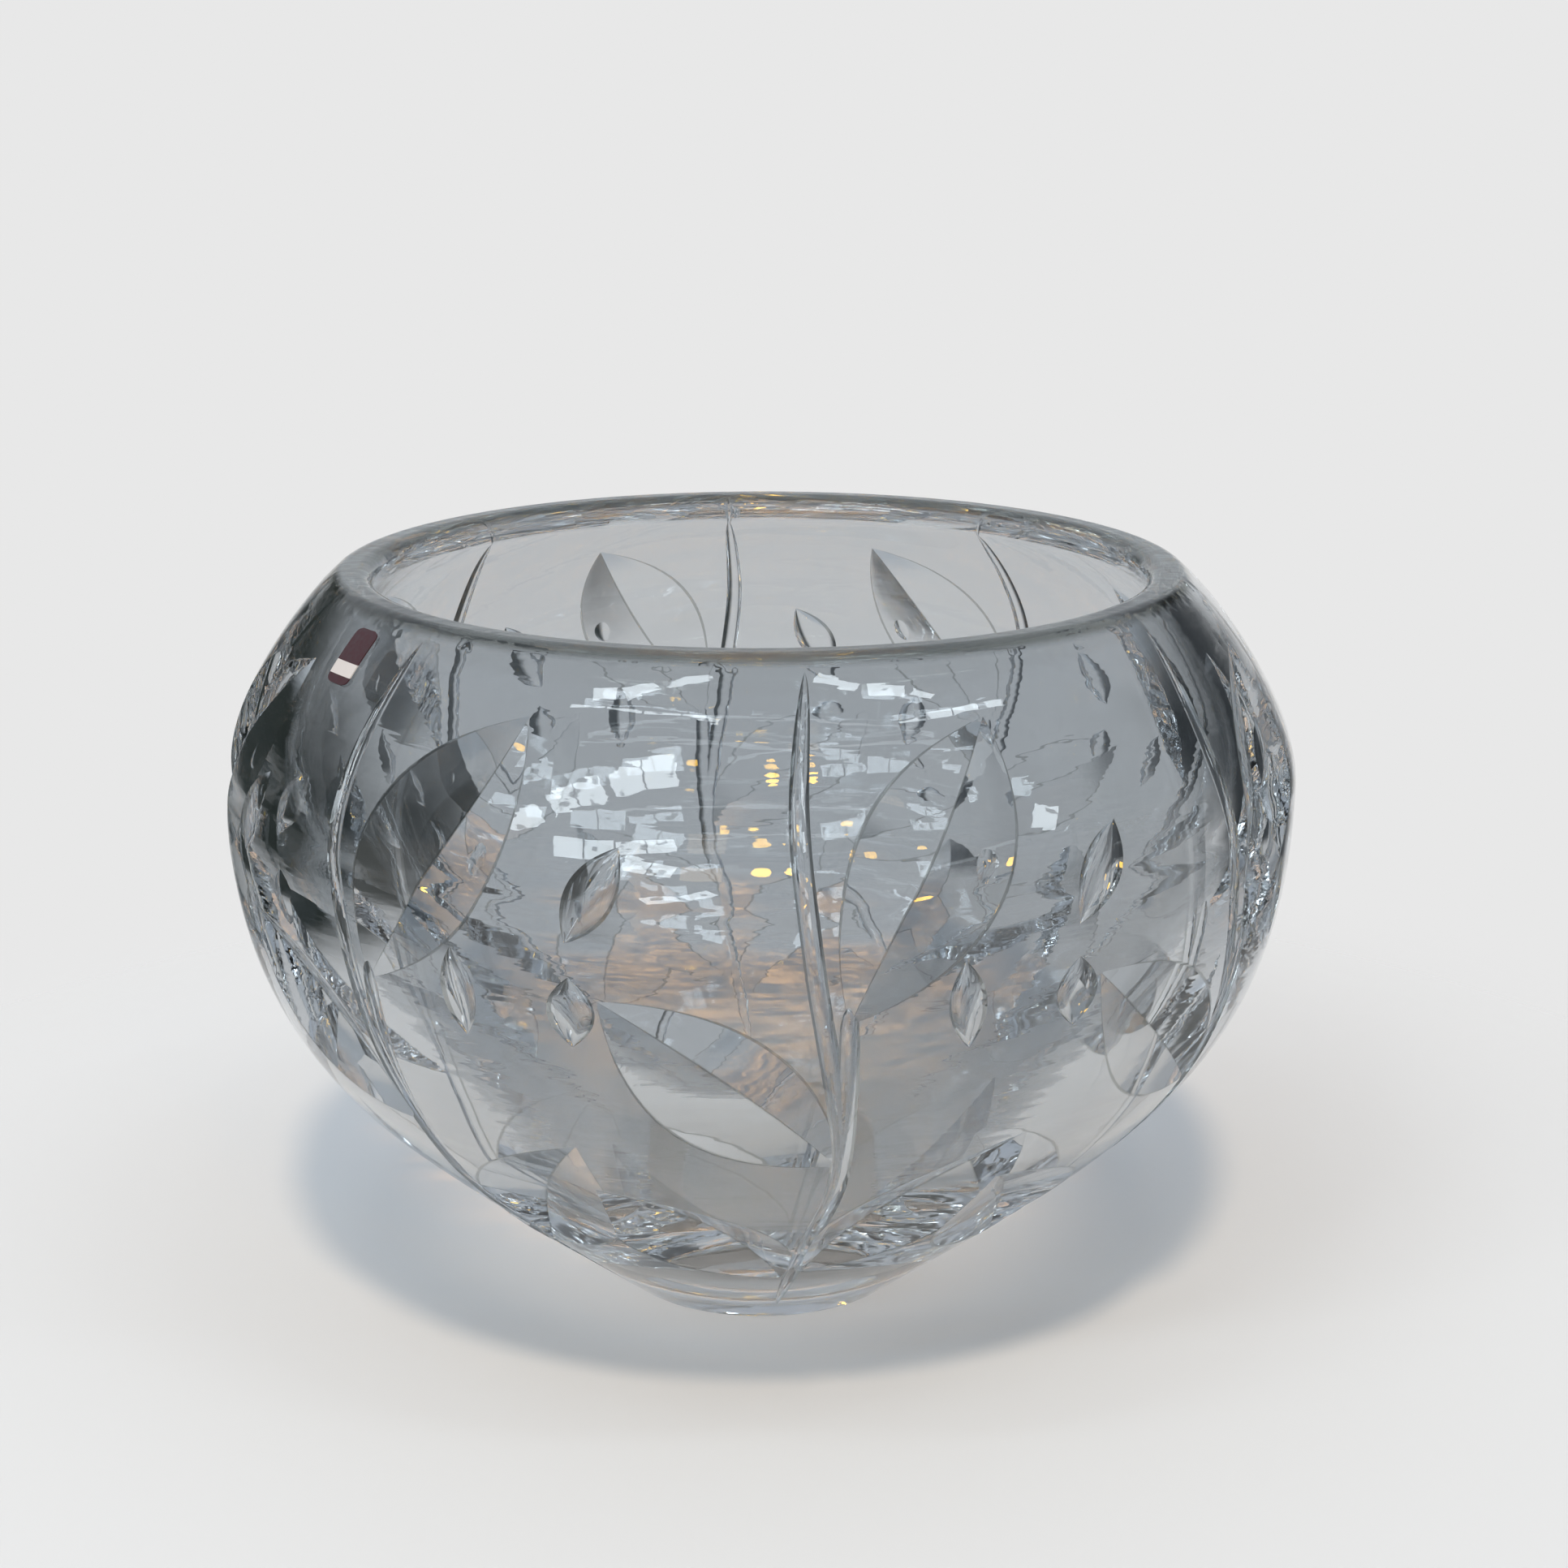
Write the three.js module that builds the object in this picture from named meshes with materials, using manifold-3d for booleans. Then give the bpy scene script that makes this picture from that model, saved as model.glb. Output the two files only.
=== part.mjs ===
// A heavy fruit bowl of clear cut crystal, with a small label stuck on its shoulder.
// Millimetres, +Z up. The origin is on the table, under the middle of the foot. Azimuths are in
// degrees, 0 at the front (-Y) and growing towards +X. Places on the outside are given by an azimuth
// and by the distance along the wall, as a cutter's tape measures it from the foot to the rim.
import * as THREE from "three";
import { mergeVertices } from "three/addons/utils/BufferGeometryUtils.js";
import Module from "manifold-3d";

const wasm = await Module();
wasm.setup();

// Outside of the blown bowl
const bellyDiameter = 240;
const bellyHeight = 122;
const bowlHeight = 168;
const footDiameter = 68;
const mouthDiameter = 189;
const footFlare = 51.6; // lean of the wall from upright where it leaves the foot, degrees
const shoulderLean = 49; // lean of the wall from upright where the rim starts, degrees
const footSweep = 78; // how far the foot's slope is felt up the wall
const bellySweepDown = 58;
const bellySweepUp = 13.5;
const shoulderSweep = 14;

// Inside, floor and rim
const bellyWall = 12;
const floorThickness = 18;
const rimRound = 4; // radius of the polished edge on both sides of the rim
const rimFlat = 2.5; // flat left on top of the rim between the two rounds
const floorSweep = 50;
const insideSweepDown = 55;
const insideSweepUp = 13;
const insideShoulderSweep = 12;

// Polished hollow under the foot, which leaves a flat ring to stand on
const hollowDiameter = 46;
const hollowDepth = 1.2;

// Cutting: sprays of leaves round the outside, spaced by eye and a little wider at the front
const sprayCount = 8;
const firstSprayTurn = 4;
const spacingDrift = 6;
const leafDepth = 4.6;
const oliveDepth = 2.2;
const stemWidth = 4.2;
const stemDepth = 1;
const stemFromFoot = 12;
const stemBelowRim = 3;

// Label
const labelTurn = -54.8;
const labelWidth = 8.5;
const labelHeight = 13;
const labelCorner = 1.8;
const labelThickness = 0.25;
const labelBelowRim = 4;
const labelGap = 0.25; // stands off the glass by its glue

// Fineness of the facets
const turnSteps = 64;
const lowerWallSteps = 11;
const upperWallSteps = 5;
const roundSteps = 2;
const hollowSteps = 2;
const leafSteps = 6;
const oliveSteps = 4;
const stemSteps = 11;
const stalkSteps = 3;
const labelSteps = 8;

const bellyRadius = bellyDiameter / 2;
const footRadius = footDiameter / 2;
const mouthRadius = mouthDiameter / 2;

// A point that is reached from another one by going a distance along a lean from upright.
function leaning(start, lean, distance) {
  const angle = THREE.MathUtils.degToRad(lean);
  const step = new THREE.Vector2(Math.sin(angle), Math.cos(angle));
  return start.clone().addScaledVector(step, distance);
}

// The outside of the wall as radius and height, from the foot to where the rim starts to round.
const rimRise = rimRound * (1 - Math.sin(THREE.MathUtils.degToRad(shoulderLean)));
const footEdge = new THREE.Vector2(footRadius, 0);
const bellyEdge = new THREE.Vector2(bellyRadius, bellyHeight);
const rimEdge = new THREE.Vector2(mouthRadius, bowlHeight - rimRise);
const lowerWall = new THREE.CubicBezierCurve(
  footEdge,
  leaning(footEdge, footFlare, footSweep),
  leaning(bellyEdge, 0, -bellySweepDown),
  bellyEdge,
);
const upperWall = new THREE.CubicBezierCurve(
  bellyEdge,
  leaning(bellyEdge, 0, bellySweepUp),
  leaning(rimEdge, -shoulderLean, -shoulderSweep),
  rimEdge,
);
const outerWall = new THREE.CurvePath();
outerWall.add(lowerWall);
outerWall.add(upperWall);
const bellyAlong = lowerWall.getLength();
const rimAlong = outerWall.getLength();

// Points of an arc given by its centre, radius and the directions in degrees of its two ends.
function arcPoints(centre, radius, from, to, steps) {
  return Array.from({ length: steps + 1 }, (_, i) => {
    const angle = THREE.MathUtils.degToRad(THREE.MathUtils.lerp(from, to, i / steps));
    const spoke = new THREE.Vector2(Math.cos(angle), Math.sin(angle));
    return centre.clone().addScaledVector(spoke, radius);
  });
}

// The two rounds of the rim, from the outer wall over the flat to the inner wall.
function rimPoints() {
  const lean = THREE.MathUtils.degToRad(shoulderLean);
  const outerCentre = new THREE.Vector2(rimEdge.x - rimRound * Math.cos(lean), bowlHeight - rimRound);
  const innerCentre = new THREE.Vector2(outerCentre.x - rimFlat, outerCentre.y);
  return [
    ...arcPoints(outerCentre, rimRound, shoulderLean, 90, roundSteps),
    ...arcPoints(innerCentre, rimRound, 90, 180 + shoulderLean, 2 * roundSteps),
  ];
}

// The inside of the wall, from the end of the rim's inner round to the middle of the floor.
function insidePoints(start) {
  const widest = new THREE.Vector2(bellyRadius - bellyWall, bellyHeight);
  const floor = new THREE.Vector2(0, floorThickness);
  const upper = new THREE.CubicBezierCurve(
    start,
    leaning(start, -shoulderLean, -insideShoulderSweep),
    leaning(widest, 0, insideSweepUp),
    widest,
  );
  const lower = new THREE.CubicBezierCurve(
    widest,
    leaning(widest, 0, -insideSweepDown),
    new THREE.Vector2(floorSweep, floorThickness),
    floor,
  );
  return [...upper.getPoints(upperWallSteps).slice(1), ...lower.getPoints(lowerWallSteps).slice(1)];
}

// The hollow under the foot: part of a ball that is hollowDepth deep, from the middle out.
function hollowPoints() {
  const radius = hollowDiameter / 2;
  return Array.from({ length: hollowSteps + 1 }, (_, i) => {
    const out = i / hollowSteps;
    return new THREE.Vector2(radius * out, hollowDepth * (1 - out * out));
  });
}

// The bowl before it is cut, turned about Z.
function blownBowl() {
  const rim = rimPoints();
  const profile = [
    ...hollowPoints(),
    ...lowerWall.getPoints(lowerWallSteps),
    ...upperWall.getPoints(upperWallSteps).slice(1),
    ...rim.slice(1),
    ...insidePoints(rim[rim.length - 1]),
  ];
  return new THREE.LatheGeometry(profile, turnSteps).rotateX(Math.PI / 2);
}

// Where the outer wall is at a distance along it, and which way it runs there.
// Past its two ends the wall is taken to run on straight.
function wallAt(along) {
  const inside = THREE.MathUtils.clamp(along, 0, rimAlong);
  const tangent = outerWall.getTangent(inside / rimAlong);
  const point = outerWall.getPoint(inside / rimAlong).addScaledVector(tangent, along - inside);
  return { point, tangent };
}

// A point on the outer wall, lifted off it by a distance, which is negative inside the glass.
function onWall(turn, along, lift) {
  const { point, tangent } = wallAt(along);
  const radius = point.x + lift * tangent.y;
  const height = point.y - lift * tangent.x;
  const angle = THREE.MathUtils.degToRad(turn);
  return new THREE.Vector3(radius * Math.sin(angle), -radius * Math.cos(angle), height);
}

// A closed solid through rings that all have the same number of points.
function loft(rings) {
  const count = rings[0].length;
  const index = [];
  for (let ring = 0; ring + 1 < rings.length; ring++) {
    for (let i = 0; i < count; i++) {
      const next = (i + 1) % count;
      const [a, b] = [ring * count + i, ring * count + next];
      index.push(a, b + count, b, a, a + count, b + count);
    }
  }
  const last = (rings.length - 1) * count;
  for (let i = 1; i + 1 < count; i++) {
    index.push(0, i, i + 1, last, last + i + 1, last + i);
  }
  const geometry = new THREE.BufferGeometry().setFromPoints(rings.flat());
  return geometry.setIndex(index);
}

// A solid for joining and cutting. Where a loft narrows to a point its faces have no area, so
// triangles that use one vertex twice are left out.
function toSolid(geometry) {
  const bare = geometry.clone();
  bare.deleteAttribute("normal");
  bare.deleteAttribute("uv");
  const merged = mergeVertices(bare, 1e-4);
  const corners = merged.index.array;
  const triangles = [];
  for (let i = 0; i < corners.length; i += 3) {
    const [a, b, c] = corners.subarray(i, i + 3);
    if (a !== b && b !== c && c !== a) triangles.push(a, b, c);
  }
  return new wasm.Manifold(
    new wasm.Mesh({
      numProp: 3,
      vertProperties: merged.attributes.position.array,
      triVerts: new Uint32Array(triangles),
    }),
  );
}

function toGeometry(solid) {
  const mesh = solid.getMesh();
  const geometry = new THREE.BufferGeometry();
  geometry.setAttribute("position", new THREE.BufferAttribute(mesh.vertProperties, 3));
  return geometry.setIndex(new THREE.BufferAttribute(mesh.triVerts, 1));
}

// The glass that one pass of the wheel takes away, as a solid that reaches out of the wall.
// path(share) gives the middle of the cut as turn and along, swell(share) how much of its full
// width and depth it has there, and section the shape of the wheel's edge, from left to right,
// as shares of the half width and of the depth.
function wheelCut({ path, lean, swell, section, left, right, depth, steps }) {
  const overreach = 0.4; // the cut's sides are carried this share further, to clear the glass
  const clearance = 2 + depth; // height of the solid's ridge above the wall
  const angle = THREE.MathUtils.degToRad(lean);
  const rings = Array.from({ length: steps + 1 }, (_, i) => {
    const share = i / steps;
    const { turn, along } = path(share);
    const size = swell(share);
    const points = section.map(([sideways, down]) => {
      const offset = sideways * size * (sideways < 0 ? left : right);
      const place = along - offset * Math.sin(angle);
      const swing = THREE.MathUtils.radToDeg((offset * Math.cos(angle)) / wallAt(place).point.x);
      return onWall(turn + swing, place, -down * size * depth);
    });
    const [first, second] = points;
    const [last, beforeLast] = [points[points.length - 1], points[points.length - 2]];
    const leftOut = first.clone().addScaledVector(first.clone().sub(second), overreach);
    const rightOut = last.clone().addScaledVector(last.clone().sub(beforeLast), overreach);
    return [leftOut, ...points.slice(1, -1), rightOut, onWall(turn, along, clearance)];
  });
  return toSolid(loft(rings));
}

// Edges of the cutting wheels: a mitre wheel for leaves, a rounded one for olives and stems.
const mitreEdge = [
  [-1, 0],
  [0, 1],
  [1, 0],
];
const roundedEdge = [-1, -0.5, 0, 0.5, 1].map((across) => [across, 1 - across * across]);

// A cut that swells from a point to its full width in the middle and back to a point.
const pointedSwell = (share) => 4 * share * (1 - share);

// A cut that keeps its width and runs out quickly at its two ends.
const stemSwell = (share) => 1 - Math.abs(2 * share - 1) ** 6;

// The path of a straight cut between two places, and how far it leans from upright.
function straightCut(from, to) {
  const middleRadius = wallAt((from.along + to.along) / 2).point.x;
  const sideways = THREE.MathUtils.degToRad(to.turn - from.turn) * middleRadius;
  return {
    lean: THREE.MathUtils.radToDeg(Math.atan2(sideways, to.along - from.along)),
    path: (share) => ({
      turn: THREE.MathUtils.lerp(from.turn, to.turn, share),
      along: THREE.MathUtils.lerp(from.along, to.along, share),
    }),
  };
}

// The leaves of one spray. Turns are measured from the spray's own azimuth.
const leaves = [
  {
    // low on the left of the stem
    base: { turn: 3.9, along: bellyAlong - 57 },
    tip: { turn: -19.3, along: bellyAlong - 17 },
    left: 14.7,
    right: 14.7,
  },
  {
    // high on the right of the stem, up to the shoulder
    base: { turn: 4.1, along: bellyAlong - 21 },
    tip: { turn: 20.1, along: rimAlong - 15 },
    left: 16.5,
    right: 15.5,
  },
  {
    // by the foot, to the left
    base: { turn: -0.4, along: 38 },
    tip: { turn: -25, along: bellyAlong - 69 },
    left: 19,
    right: 16,
  },
  {
    // by the foot, to the right
    base: { turn: 3.3, along: 44 },
    tip: { turn: 25.4, along: bellyAlong - 54 },
    left: 15,
    right: 18,
  },
];

// The olives of one spray: small pointed ovals beside the upper leaf.
const olives = [
  { turn: 17, along: bellyAlong + 9.5, length: 15, width: 9, lean: 8 },
  { turn: 29.5, along: bellyAlong + 4, length: 22, width: 10, lean: 28 },
  { turn: 27.3, along: bellyAlong - 20, length: 15, width: 10, lean: 0 },
  { turn: 15.5, along: bellyAlong - 19, length: 19, width: 8, lean: -6 },
];

function leafCut({ base, tip, left, right }, sprayTurn) {
  const from = { turn: sprayTurn + base.turn, along: base.along };
  const to = { turn: sprayTurn + tip.turn, along: tip.along };
  const middle = straightCut(from, to);
  return wheelCut({
    ...middle,
    swell: pointedSwell,
    section: mitreEdge,
    left,
    right,
    depth: leafDepth,
    steps: leafSteps,
  });
}

function oliveCut({ turn, along, length, width, lean }, sprayTurn) {
  const angle = THREE.MathUtils.degToRad(lean);
  const rise = (length / 2) * Math.cos(angle);
  const swing = THREE.MathUtils.radToDeg(((length / 2) * Math.sin(angle)) / wallAt(along).point.x);
  const centre = sprayTurn + turn;
  const middle = straightCut(
    { turn: centre - swing, along: along - rise },
    { turn: centre + swing, along: along + rise },
  );
  return wheelCut({
    ...middle,
    swell: pointedSwell,
    section: roundedEdge,
    left: width / 2,
    right: width / 2,
    depth: oliveDepth,
    steps: oliveSteps,
  });
}

// The stem climbs from the foot to the rim in one shallow double bend, past the low leaf's base.
const stemBends = [
  { turn: 0.2, along: stemFromFoot },
  { turn: 2.6, along: bellyAlong - 91 },
  { turn: leaves[0].base.turn + 0.4, along: leaves[0].base.along },
  { turn: 0.9, along: bellyAlong - 10 },
  { turn: -0.4, along: bellyAlong + 20 },
  { turn: 1, along: rimAlong - stemBelowRim },
];

function stemCut(sprayTurn) {
  const bends = new THREE.SplineCurve(stemBends.map(({ turn, along }) => new THREE.Vector2(turn, along)));
  return wheelCut({
    path: (share) => {
      const { x, y } = bends.getPoint(share);
      return { turn: sprayTurn + x, along: y };
    },
    lean: 0,
    swell: stemSwell,
    section: roundedEdge,
    left: stemWidth / 2,
    right: stemWidth / 2,
    depth: stemDepth,
    steps: stemSteps,
  });
}

// The stalk of the upper leaf runs down from its base into the stem.
function stalkCut(sprayTurn) {
  const base = leaves[1].base;
  const middle = straightCut(
    { turn: sprayTurn + base.turn, along: base.along + stemWidth },
    { turn: sprayTurn + leaves[0].base.turn + 0.6, along: leaves[0].base.along - stemWidth },
  );
  return wheelCut({
    ...middle,
    swell: stemSwell,
    section: roundedEdge,
    left: stemWidth / 2,
    right: stemWidth / 2,
    depth: stemDepth,
    steps: stalkSteps,
  });
}

function sprayCuts(sprayTurn) {
  return [
    ...leaves.map((leaf) => leafCut(leaf, sprayTurn)),
    ...olives.map((olive) => oliveCut(olive, sprayTurn)),
    stemCut(sprayTurn),
    stalkCut(sprayTurn),
  ];
}

// Azimuth of each spray: evenly shared out, then drifted to open the ones beside the front.
function sprayTurn(i) {
  const even = (360 / sprayCount) * i;
  return firstSprayTurn + even + spacingDrift * Math.sin(THREE.MathUtils.degToRad(even));
}

function cutBowl() {
  let bowl = toSolid(blownBowl());
  for (let i = 0; i < sprayCount; i++) {
    const [first, ...others] = sprayCuts(sprayTurn(i));
    const spray = others.reduce((joined, cut) => joined.add(cut), first);
    bowl = bowl.subtract(spray);
  }
  return toGeometry(bowl);
}

// The label: a thin strip with rounded corners that follows the shoulder.
function labelPatch() {
  const middle = rimAlong - labelBelowRim - labelHeight / 2;
  const rings = Array.from({ length: labelSteps + 1 }, (_, i) => {
    const up = (i / labelSteps - 0.5) * labelHeight;
    const pastStraight = Math.abs(up) - (labelHeight / 2 - labelCorner);
    const intoCorner = THREE.MathUtils.clamp(pastStraight, 0, labelCorner);
    const cornerLoss = labelCorner - Math.sqrt(labelCorner ** 2 - intoCorner ** 2);
    const halfWidth = labelWidth / 2 - cornerLoss;
    const across = (side, lift) => {
      const swing = THREE.MathUtils.radToDeg((side * halfWidth) / wallAt(middle + up).point.x);
      return onWall(labelTurn + swing, middle + up, lift);
    };
    const outside = labelGap + labelThickness;
    return [
      across(-1, labelGap),
      across(0, labelGap),
      across(1, labelGap),
      across(1, outside),
      across(0, outside),
      across(-1, outside),
    ];
  });
  return toGeometry(toSolid(loft(rings)));
}

function named(name, geometry, material) {
  const mesh = new THREE.Mesh(geometry, material);
  mesh.name = name;
  return mesh;
}

const crystal = new THREE.MeshStandardMaterial({
  color: 0xb8bfc6,
  roughness: 0.04,
  metalness: 0,
  transparent: true,
  opacity: 0.35,
});
const labelFoil = new THREE.MeshStandardMaterial({ color: 0x4a161b, roughness: 0.45, metalness: 0 });

const fruitBowl = new THREE.Group();
fruitBowl.add(named("glass_bowl", cutBowl(), crystal));
fruitBowl.add(named("shoulder_label", labelPatch(), labelFoil));

export default fruitBowl;
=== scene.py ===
# %% [markdown]
# # A cut crystal fruit bowl
#
# The real bowl is one heavy piece of clear crystal. It was blown thick, cut on the outside with
# stone wheels, and polished until the cuts were as clear as the rest. A small label sticks on its
# shoulder. Glass has almost no colour of its own, so nearly all that is seen of it is how its
# shape bends and mirrors what stands round it. That is why this scene spends its effort on exact
# walls, crisp cuts and a plain studio with something to mirror, and little on colour.

import math

import bmesh
import bpy
import numpy as np
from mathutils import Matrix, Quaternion, Vector
from mathutils.kdtree import KDTree


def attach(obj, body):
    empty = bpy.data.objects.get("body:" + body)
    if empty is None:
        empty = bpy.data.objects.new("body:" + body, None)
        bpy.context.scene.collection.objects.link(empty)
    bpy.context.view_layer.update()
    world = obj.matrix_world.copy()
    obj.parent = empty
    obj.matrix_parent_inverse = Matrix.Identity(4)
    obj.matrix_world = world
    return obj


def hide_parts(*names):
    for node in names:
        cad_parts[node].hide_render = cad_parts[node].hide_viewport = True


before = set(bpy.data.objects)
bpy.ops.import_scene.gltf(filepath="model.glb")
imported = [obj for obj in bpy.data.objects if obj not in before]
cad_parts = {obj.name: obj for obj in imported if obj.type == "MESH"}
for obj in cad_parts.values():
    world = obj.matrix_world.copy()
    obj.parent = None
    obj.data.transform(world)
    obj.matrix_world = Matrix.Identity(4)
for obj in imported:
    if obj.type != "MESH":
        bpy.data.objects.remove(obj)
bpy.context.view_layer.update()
scene = bpy.context.scene
MM = 0.001

# %% [markdown]
# ## The camera
#
# The bowl was photographed from a little over arm's length, looking down at it by about 18
# degrees. The place and the focal length were worked out by fitting a camera to the bowl's
# outline, so they are written as measured. The camera turns a hair to one side in place of a
# lens shift, because that is what someone who holds it by hand does.

# %% Place the camera
FRAME_PIXELS = 1932
FOCAL_PIXELS = 3514.15
camera_distance = 660 * MM
camera_elevation = math.radians(18.12)
half_height = 84 * MM
raised = math.radians(2.694)
turned_right = math.radians(0.481)

camera_data = bpy.data.cameras.new("camera")
camera_data.sensor_width = 36
camera_data.lens = camera_data.sensor_width * FOCAL_PIXELS / FRAME_PIXELS
camera_data.clip_start = 0.01
camera = bpy.data.objects.new("camera", camera_data)
camera.location = (
    0,
    -camera_distance * math.cos(camera_elevation),
    half_height + camera_distance * math.sin(camera_elevation),
)
camera.rotation_euler = (math.pi / 2 - camera_elevation + raised, 0, -turned_right)
scene.collection.objects.link(camera)
scene.camera = camera
print("camera at", [round(c / MM, 1) for c in camera.location], "mm, lens", round(camera_data.lens, 2))

# %% [markdown]
# ## The line of the wall
#
# A glassblower's bowl is round, so its outside is one line turned about an axis. The line could
# be drawn with points, but two smooth curves that meet at the belly hold it with fewer numbers
# and have no kinks. The same line is used again and again: to turn the bowl, to place every cut
# on it, and to tell each point of the glass which way it faces.

# %% Sizes of the blown bowl
# Sizes of the bowl are in mm and angles in degrees, as a maker writes them.
belly_radius = 120.0
belly_height = 122.0
bowl_height = 168.0
foot_radius = 34.0
mouth_radius = 94.5
foot_flare = 51.6
shoulder_lean = 49.0
belly_wall = 12.0
floor_thickness = 18.0
rim_round = 4.0
rim_flat = 2.5
hollow_radius = 23.0
hollow_depth = 1.2

# How far each curve keeps to its direction at its two ends.
foot_pull, lower_belly_pull = 78.0, 58.0
upper_belly_pull, rim_pull = 13.5, 14.0
inner_rim_pull, inner_upper_pull = 12.0, 13.0
inner_lower_pull, floor_pull = 55.0, 50.0


def leaning(start, lean, distance):
    """The point reached by going a distance along a lean from upright."""
    angle = math.radians(lean)
    return np.array(start) + distance * np.array([math.sin(angle), math.cos(angle)])


def bezier(points, share):
    """Place and direction on a cubic curve at each share of it."""
    a, b, c, d = (np.array(p, float) for p in points)
    t = np.atleast_1d(share)[:, None]
    place = (1 - t) ** 3 * a + 3 * (1 - t) ** 2 * t * b + 3 * (1 - t) * t**2 * c + t**3 * d
    along = 3 * ((1 - t) ** 2 * (b - a) + 2 * (1 - t) * t * (c - b) + t**2 * (d - c))
    return place, along / np.linalg.norm(along, axis=1)[:, None]


# %% The outside and the inside of the wall
foot_edge = (foot_radius, 0.0)
belly_edge = (belly_radius, belly_height)
shoulder = math.radians(shoulder_lean)
rim_edge = (mouth_radius, bowl_height - rim_round * (1 - math.sin(shoulder)))
lower_outside = [
    foot_edge,
    leaning(foot_edge, foot_flare, foot_pull),
    leaning(belly_edge, 0, -lower_belly_pull),
    belly_edge,
]
upper_outside = [
    belly_edge,
    leaning(belly_edge, 0, upper_belly_pull),
    leaning(rim_edge, -shoulder_lean, -rim_pull),
    rim_edge,
]

rim_spoke = rim_round * np.array([math.cos(shoulder), math.sin(shoulder)])
rim_centre = rim_edge - rim_spoke
inner_centre = rim_centre - [rim_flat, 0]
rim_inside = inner_centre - rim_spoke
widest_inside = (belly_radius - belly_wall, belly_height)
upper_inside = [
    rim_inside,
    leaning(rim_inside, -shoulder_lean, -inner_rim_pull),
    leaning(widest_inside, 0, inner_upper_pull),
    widest_inside,
]
lower_inside = [
    widest_inside,
    leaning(widest_inside, 0, -inner_lower_pull),
    (floor_pull, floor_thickness),
    (0.0, floor_thickness),
]


def measured(curves, count=4000):
    """Points along several curves in a row, with their directions and distances from the start."""
    parts = [bezier(curve, np.linspace(0, 1, count)) for curve in curves]
    place = np.concatenate([part[0] for part in parts])
    along = np.concatenate([part[1] for part in parts])
    step = np.linalg.norm(np.diff(place, axis=0), axis=1)
    return place, along, np.concatenate([[0], np.cumsum(step)])


wall_place, wall_along, wall_distance = measured([lower_outside, upper_outside])
rim_distance = wall_distance[-1]
belly_distance = float(np.interp(belly_height, wall_place[:, 1], wall_distance))
print("wall from foot to belly", round(belly_distance, 1), "mm, to the rim", round(rim_distance, 1), "mm")

# %% [markdown]
# ## The blown bowl
#
# The profile goes round the whole section of the glass: out from the middle of the foot, up the
# outside, over the fire-polished rim and down the inside. It is turned in 288 steps. A
# subdivision modifier could smooth it instead, but glass shows every false bump, so each point
# gets its true direction from the profile, and the flat steps never show.

# %% Lay out the section
turn_steps = 288
hollow_steps, lower_steps, upper_steps, inner_upper_steps = 8, 56, 28, 24
outer_rim_steps, inner_rim_steps = 7, 18


def steps_between(start, end, count):
    """Evenly spaced values, with both ends, for a number of steps."""
    return np.linspace(start, end, count + 1)


def arc(centre, start, end, count):
    """Points and outward directions round a rim edge, from one angle to another in degrees."""
    angle = np.radians(steps_between(start, end, count))
    spoke = np.stack([np.cos(angle), np.sin(angle)], 1)
    return centre + rim_round * spoke, spoke


def facing(along):
    """Directions out of the glass, from directions along its section."""
    return np.stack([along[:, 1], -along[:, 0]], 1)


def profile():
    """The section's smooth runs: hollow, ring of the foot, and the rest. Each is points and directions."""
    share = steps_between(0, 1, hollow_steps)
    hollow = np.stack([hollow_radius * share, hollow_depth * (1 - share**2)], 1)
    slope = np.stack([np.ones(len(share)), -2 * hollow_depth * share / hollow_radius], 1)
    slope /= np.linalg.norm(slope, axis=1)[:, None]
    foot = np.array([[hollow_radius, 0], [foot_radius, 0]])
    down = np.array([[0, -1.0], [0, -1.0]])
    curves = [
        bezier(lower_outside, steps_between(0, 1, lower_steps)),
        bezier(upper_outside, steps_between(0, 1, upper_steps)[1:]),
        bezier(upper_inside, steps_between(0, 1, inner_upper_steps)[1:]),
        bezier(lower_inside, steps_between(0, 1, lower_steps)[1:]),
    ]
    sides = [(place, facing(along)) for place, along in curves]
    outer_rim = arc(rim_centre, shoulder_lean, 90, outer_rim_steps)
    inner_rim = arc(inner_centre, 90, 180 + shoulder_lean, inner_rim_steps)
    wall = [*sides[:2], (outer_rim[0][1:], outer_rim[1][1:]), inner_rim, *sides[2:]]
    wall = tuple(np.concatenate([part[k] for part in wall]) for k in (0, 1))
    return [(hollow, facing(slope)), (foot, down), wall]


section_runs = profile()
section = np.concatenate([section_runs[0][0], section_runs[2][0]])
print("section has", len(section), "points in", len(section_runs), "smooth runs")

# %% Turn the section into a mesh


def turned_mesh(name, points, steps):
    """A closed mesh made by turning a section about the axis. The first and last point lie on it."""
    mesh = bpy.data.meshes.new(name)
    build = bmesh.new()
    angle = 2 * np.pi * np.arange(steps) / steps
    ends = [build.verts.new((0, 0, z * MM)) for z in (points[0][1], points[-1][1])]
    rings = [
        [build.verts.new((r * MM * math.sin(a), -r * MM * math.cos(a), z * MM)) for a in angle]
        for r, z in points[1:-1]
    ]
    for i in range(steps):
        j = (i + 1) % steps
        build.faces.new((ends[0], rings[0][j], rings[0][i]))
        for low, high in zip(rings, rings[1:]):
            build.faces.new((low[i], low[j], high[j], high[i]))
        build.faces.new((rings[-1][i], rings[-1][j], ends[1]))
    build.to_mesh(mesh)
    build.free()
    return mesh


# %% [markdown]
# ## The cutter's wheels
#
# Every leaf, olive and stem is a groove made by a spinning wheel: a mitre wheel has a sharp edge
# and leaves a V, a rounded wheel leaves a shallow dish. The groove swells where the wheel is
# pressed in and ends in a point where it is lifted out. Each groove could be drawn on the glass
# as a bump, but a bump doesn't bend light as a real V does, so a solid in the shape of the glass
# that the wheel takes away is made for each one, and is subtracted.

# %% Find places on the wall


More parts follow.
